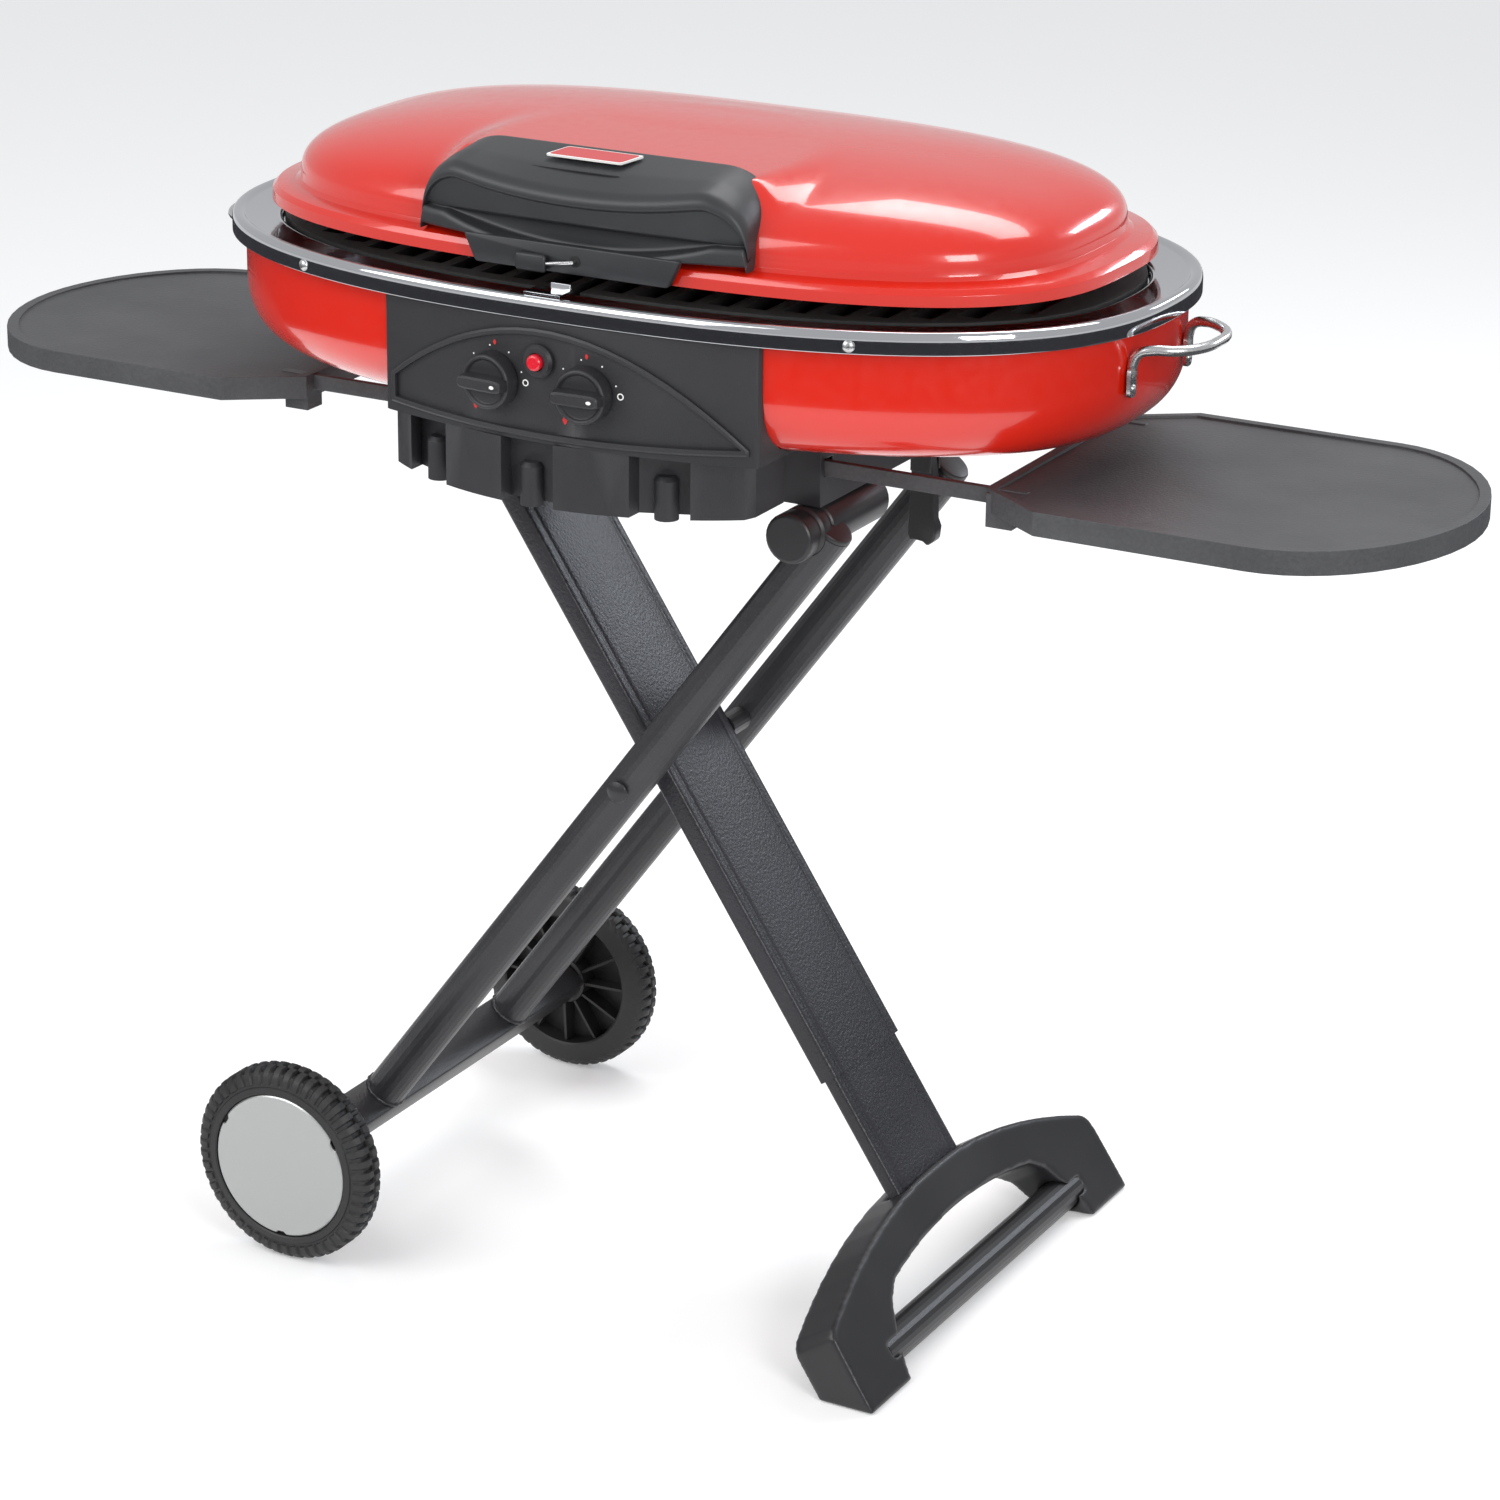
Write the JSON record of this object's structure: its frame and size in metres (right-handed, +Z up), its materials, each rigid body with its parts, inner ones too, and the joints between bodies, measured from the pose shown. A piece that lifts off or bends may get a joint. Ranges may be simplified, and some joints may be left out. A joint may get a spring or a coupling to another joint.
{
  "type": "two-burner gas grill on folding stand",
  "caption": "Gas grill with a hinged oval lid on a folding scissor stand, two wheels, sliding side tables, carry handles and a front panel with knobs.",
  "frame": {"origin": "on the ground under the middle of the overall box", "axes": "+Z up, -Y is the front with the panel and the lid handle, +X is to the right for a person facing the panel, across the two tables"},
  "size_m": [1.1562, 0.4588, 0.8494],
  "materials": {
    "red_enamel": "gloss",
    "chrome": "polished",
    "bright_steel": "satin",
    "black_steel": "textured powder coat",
    "black_plastic": "fine texture",
    "table_plastic": "fine texture",
    "cast_iron": "enamelled",
    "brass": "machined",
    "wheel_rubber": "moulded",
    "silver_disc": "satin",
    "badge": "gloss",
    "button_red": "gloss",
    "ceramic": "glazed"
  },
  "bodies": {
    "chassis": {"firebox": "red_enamel", "rim_ring": "chrome", "rim_screw_1": "bright_steel", "rim_screw_2": "bright_steel", "rim_screw_3": "bright_steel", "rim_screw_4": "bright_steel", "grease_pan": "bright_steel", "burner_left": "bright_steel", "burner_right": "bright_steel", "cooking_grate_left": "cast_iron", "cooking_grate_right": "cast_iron", "control_panel": "black_plastic", "panel_bezel": "black_plastic", "igniter_collar": "black_plastic", "igniter_housing": "black_plastic", "valve_left": "brass", "valve_right": "brass", "gas_manifold": "brass", "gas_inlet_fitting": "brass", "spark_electrode": "ceramic", "lid_catch": "chrome", "hinge_bracket_left": "chrome", "hinge_bracket_right": "chrome", "carry_handle_left": "chrome", "carry_handle_right": "chrome", "base_box": "black_steel", "leg_bracket": "black_steel", "leg_pivot_pin": "bright_steel"},
    "lid": {"lid_shell": "red_enamel", "lid_handle": "black_plastic", "handle_badge": "badge", "hinge_leaf_left": "bright_steel", "hinge_leaf_right": "bright_steel"},
    "latch": {"latch_wire": "bright_steel", "latch_grip": "black_plastic"},
    "left_table": {"side_table_left": "table_plastic"},
    "right_table": {"side_table_right": "table_plastic"},
    "main_leg": {"main_leg_tube": "black_steel", "scissor_bolt": "black_steel", "scissor_spacer_front": "black_plastic", "scissor_spacer_back": "black_plastic"},
    "lower_leg": {"lower_leg_tube": "black_steel", "foot": "black_plastic", "foot_grip": "black_plastic"},
    "wheel_frame": {"wheel_tube_front": "black_steel", "wheel_tube_back": "black_steel", "axle_beam": "black_steel", "axle": "bright_steel", "top_roller": "black_plastic"},
    "front_wheel": {"wheel_front": "wheel_rubber", "wheel_disc_front": "silver_disc"},
    "back_wheel": {"wheel_back": "wheel_rubber", "wheel_disc_back": "silver_disc"},
    "left_knob": {"knob_left": "black_plastic"},
    "right_knob": {"knob_right": "black_plastic"},
    "button": {"igniter_button": "button_red"},
    "release_lever": {"leg_release_lever": "black_plastic"}
  },
  "joints": [
    {"name": "lid_hinge", "type": "hinge", "parent": "chassis", "child": "lid", "pos_m": [0, 0.2228, 0.776], "axis": [-1, 0, 0], "range_deg": [0, 85]},
    {"name": "latch_hinge", "type": "hinge", "parent": "lid", "child": "latch", "pos_m": [0.004, -0.1802, 0.7845], "axis": [0, 1, 0], "range_deg": [0, 75]},
    {"name": "left_table_slide", "type": "slide", "parent": "chassis", "child": "left_table", "axis": [1, 0, 0], "range_m": [0, 0.118]},
    {"name": "right_table_slide", "type": "slide", "parent": "chassis", "child": "right_table", "axis": [-1, 0, 0], "range_m": [0, 0.118]},
    {"name": "main_leg_fold", "type": "hinge", "parent": "chassis", "child": "main_leg", "pos_m": [-0.1547, 0.0098, 0.5946], "axis": [0, -1, 0], "range_deg": [0, 51]},
    {"name": "lower_leg_slide", "type": "slide", "parent": "main_leg", "child": "lower_leg", "axis": [-0.5563, 0, 0.831], "range_m": [0, 0.05]},
    {"name": "wheel_frame_fold", "type": "hinge", "parent": "main_leg", "child": "wheel_frame", "pos_m": [-0.00962, 0.0098, 0.37788], "axis": [0, -1, 0], "range_deg": [-102, 0]},
    {"name": "front_wheel_spin", "type": "hinge", "parent": "wheel_frame", "child": "front_wheel", "pos_m": [-0.2338, 0.0098, 0.0758], "axis": [0, 1, 0], "continuous": true},
    {"name": "back_wheel_spin", "type": "hinge", "parent": "wheel_frame", "child": "back_wheel", "pos_m": [-0.2338, 0.0098, 0.0758], "axis": [0, 1, 0], "continuous": true},
    {"name": "left_knob_turn", "type": "hinge", "parent": "chassis", "child": "left_knob", "pos_m": [-0.04125, -0.20671, 0.7045], "axis": [-0.085, -0.9964, 0], "range_deg": [0, 225]},
    {"name": "right_knob_turn", "type": "hinge", "parent": "chassis", "child": "right_knob", "pos_m": [0.03125, -0.2081, 0.7045], "axis": [0.0468, -0.9989, 0], "range_deg": [0, 225]},
    {"name": "igniter_press", "type": "slide", "parent": "chassis", "child": "button", "axis": [0, 1, 0], "range_m": [0, 0.004], "stiffness_N_per_m": 600, "springref_m": -0.002},
    {"name": "release_lever_hinge", "type": "hinge", "parent": "chassis", "child": "release_lever", "pos_m": [0.145, 0.0728, 0.604], "axis": [0, 1, 0], "range_deg": [0, 25], "stiffness_Nm_per_rad": 0.6, "springref_deg": -11.46}
  ],
  "couplings": [
    {"joint": "wheel_frame_fold", "follows": "main_leg_fold", "ratio": -2}
  ]
}
